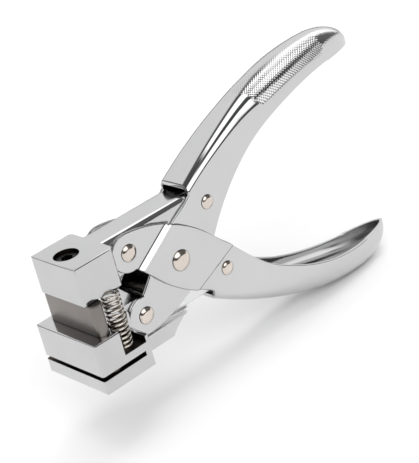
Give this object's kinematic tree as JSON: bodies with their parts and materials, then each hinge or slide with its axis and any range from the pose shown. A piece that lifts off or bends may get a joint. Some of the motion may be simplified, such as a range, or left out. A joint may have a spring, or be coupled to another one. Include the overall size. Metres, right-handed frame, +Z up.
{
  "type": "slot punch",
  "caption": "Hand-held slot punch: parallel jaws on crossed levers with channel-shaped handles, a steel blade over a slotted die, and two return springs.",
  "frame": {"origin": "middle of the punched slot, at the flat underside of the die", "axes": "+X from the head back towards the handles, +Z up along the punch's travel, +Y to the tool's far side"},
  "size_m": [0.1547, 0.034, 0.1],
  "materials": {
    "casting": "satin chrome plate on cast steel",
    "sheet": "bright chrome plate on pressed steel",
    "rivet": "polished nickel plate",
    "tool_steel": "ground, hardened and blued",
    "black_screw": "black oxide",
    "spring_steel": "nickel-plated spring wire"
  },
  "bodies": {
    "lower_jaw_body": {"lower_jaw": "casting", "near_spring": "spring_steel", "far_spring": "spring_steel", "near_spring_pin": "spring_steel", "far_spring_pin": "spring_steel"},
    "upper_lever_body": {"upper_handle": "sheet", "lower_front_rivet": "rivet", "upper_rear_rivet": "rivet", "pivot_spacer": "rivet"},
    "lower_lever_body": {"lower_handle": "sheet", "upper_front_rivet": "rivet", "lower_rear_rivet": "rivet", "pivot_rivet": "rivet"},
    "upper_jaw_body": {"upper_jaw": "casting", "punch": "tool_steel", "punch_screw": "black_screw"}
  },
  "joints": [
    {"name": "squeeze", "type": "hinge", "parent": "lower_jaw_body", "child": "upper_lever_body", "pos_m": [0.0218, 0, 0.0135], "axis": [0, 1, 0], "range_deg": [0, 10.8], "stiffness_Nm_per_rad": 1.2, "springref_deg": -6.88, "deforming": ["near_spring", "far_spring"]},
    {"name": "lever_cross", "type": "hinge", "parent": "upper_lever_body", "child": "lower_lever_body", "pos_m": [0.041, 0, 0.026], "axis": [0, 1, 0], "range_deg": [-21.6, 0]},
    {"name": "upper_jaw_level", "type": "hinge", "parent": "lower_lever_body", "child": "upper_jaw_body", "pos_m": [0.0218, 0, 0.0385], "axis": [0, 1, 0], "range_deg": [0, 10.8]}
  ],
  "couplings": [
    {"joint": "lever_cross", "follows": "squeeze", "ratio": -2},
    {"joint": "upper_jaw_level", "follows": "squeeze", "ratio": 1}
  ]
}
